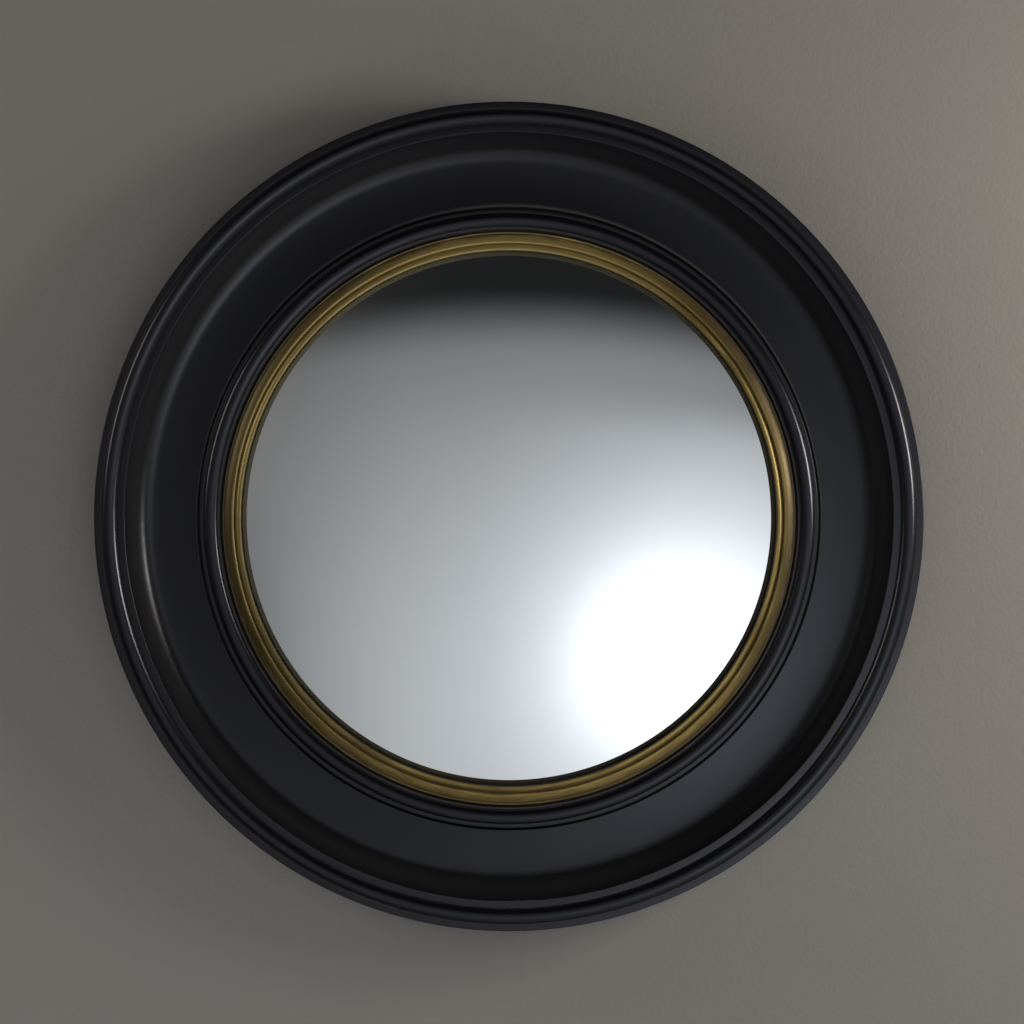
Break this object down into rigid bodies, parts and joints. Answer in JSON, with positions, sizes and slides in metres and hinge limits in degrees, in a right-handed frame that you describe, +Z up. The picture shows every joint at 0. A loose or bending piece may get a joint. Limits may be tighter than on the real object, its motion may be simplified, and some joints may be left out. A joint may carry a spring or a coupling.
{
  "type": "convex wall mirror",
  "caption": "Round wall mirror with a convex silvered glass in a turned ebonised wood frame with a gilt slip, hung from rings on its back.",
  "frame": {"origin": "centre of the plane that the wall bumpers' feet stand on, which is the wall's face behind the mirror", "axes": "+Z up as the mirror hangs, +X to the viewer's right, +Y into the wall, so the glass looks along -Y"},
  "size_m": [0.61, 0.064, 0.61],
  "materials": {
    "ebonised_wood": "satin",
    "gilt": "antique gold leaf, rubbed",
    "mirror_glass": "polished",
    "felt": "matte",
    "cork": "matte",
    "hardboard": "satin",
    "steel": "zinc plated",
    "brass": "satin",
    "rubber": "matte"
  },
  "bodies": {
    "mirror": {"rim_moulding": "ebonised_wood", "cove_ring": "ebonised_wood", "sight_moulding": "ebonised_wood", "gilt_slip": "gilt", "mirror_glass": "mirror_glass", "felt_ring": "felt", "spacer_ring": "cork", "back_board": "hardboard", "button_screw_1": "steel", "moulding_screw_1": "steel", "button_screw_2": "steel", "moulding_screw_2": "steel", "button_screw_3": "steel", "moulding_screw_3": "steel", "button_screw_4": "steel", "moulding_screw_4": "steel", "button_screw_5": "steel", "moulding_screw_5": "steel", "button_screw_6": "steel", "moulding_screw_6": "steel", "hanger_strap_left": "brass", "strap_screw_left_1": "brass", "strap_screw_left_2": "brass", "hanger_strap_right": "brass", "strap_screw_right_1": "brass", "strap_screw_right_2": "brass", "wall_bumper_1": "rubber", "wall_bumper_2": "rubber", "wall_bumper_3": "rubber", "wall_bumper_4": "rubber"},
    "turn_button_1": {"turn_button_1": "steel"},
    "turn_button_2": {"turn_button_2": "steel"},
    "turn_button_3": {"turn_button_3": "steel"},
    "turn_button_4": {"turn_button_4": "steel"},
    "turn_button_5": {"turn_button_5": "steel"},
    "turn_button_6": {"turn_button_6": "steel"},
    "d_ring_left": {"d_ring_left": "brass"},
    "d_ring_right": {"d_ring_right": "brass"}
  },
  "joints": [
    {"name": "button_turn_1", "type": "hinge", "parent": "mirror", "child": "turn_button_1", "pos_m": [0.18377, -0.0049, 0.1061], "axis": [0, 1, 0], "continuous": true},
    {"name": "button_turn_2", "type": "hinge", "parent": "mirror", "child": "turn_button_2", "pos_m": [0, -0.0049, 0.2122], "axis": [0, 1, 0], "continuous": true},
    {"name": "button_turn_3", "type": "hinge", "parent": "mirror", "child": "turn_button_3", "pos_m": [-0.18377, -0.0049, 0.1061], "axis": [0, 1, 0], "continuous": true},
    {"name": "button_turn_4", "type": "hinge", "parent": "mirror", "child": "turn_button_4", "pos_m": [-0.18377, -0.0049, -0.1061], "axis": [0, 1, 0], "continuous": true},
    {"name": "button_turn_5", "type": "hinge", "parent": "mirror", "child": "turn_button_5", "pos_m": [0, -0.0049, -0.2122], "axis": [0, 1, 0], "continuous": true},
    {"name": "button_turn_6", "type": "hinge", "parent": "mirror", "child": "turn_button_6", "pos_m": [0.18377, -0.0049, -0.1061], "axis": [0, 1, 0], "continuous": true},
    {"name": "d_ring_left_swing", "type": "hinge", "parent": "mirror", "child": "d_ring_left", "pos_m": [-0.17035, -0.0027, 0.19945], "axis": [1, 0, 0], "range_deg": [0, 180]},
    {"name": "d_ring_right_swing", "type": "hinge", "parent": "mirror", "child": "d_ring_right", "pos_m": [0.17035, -0.0027, 0.19945], "axis": [1, 0, 0], "range_deg": [0, 180]}
  ]
}
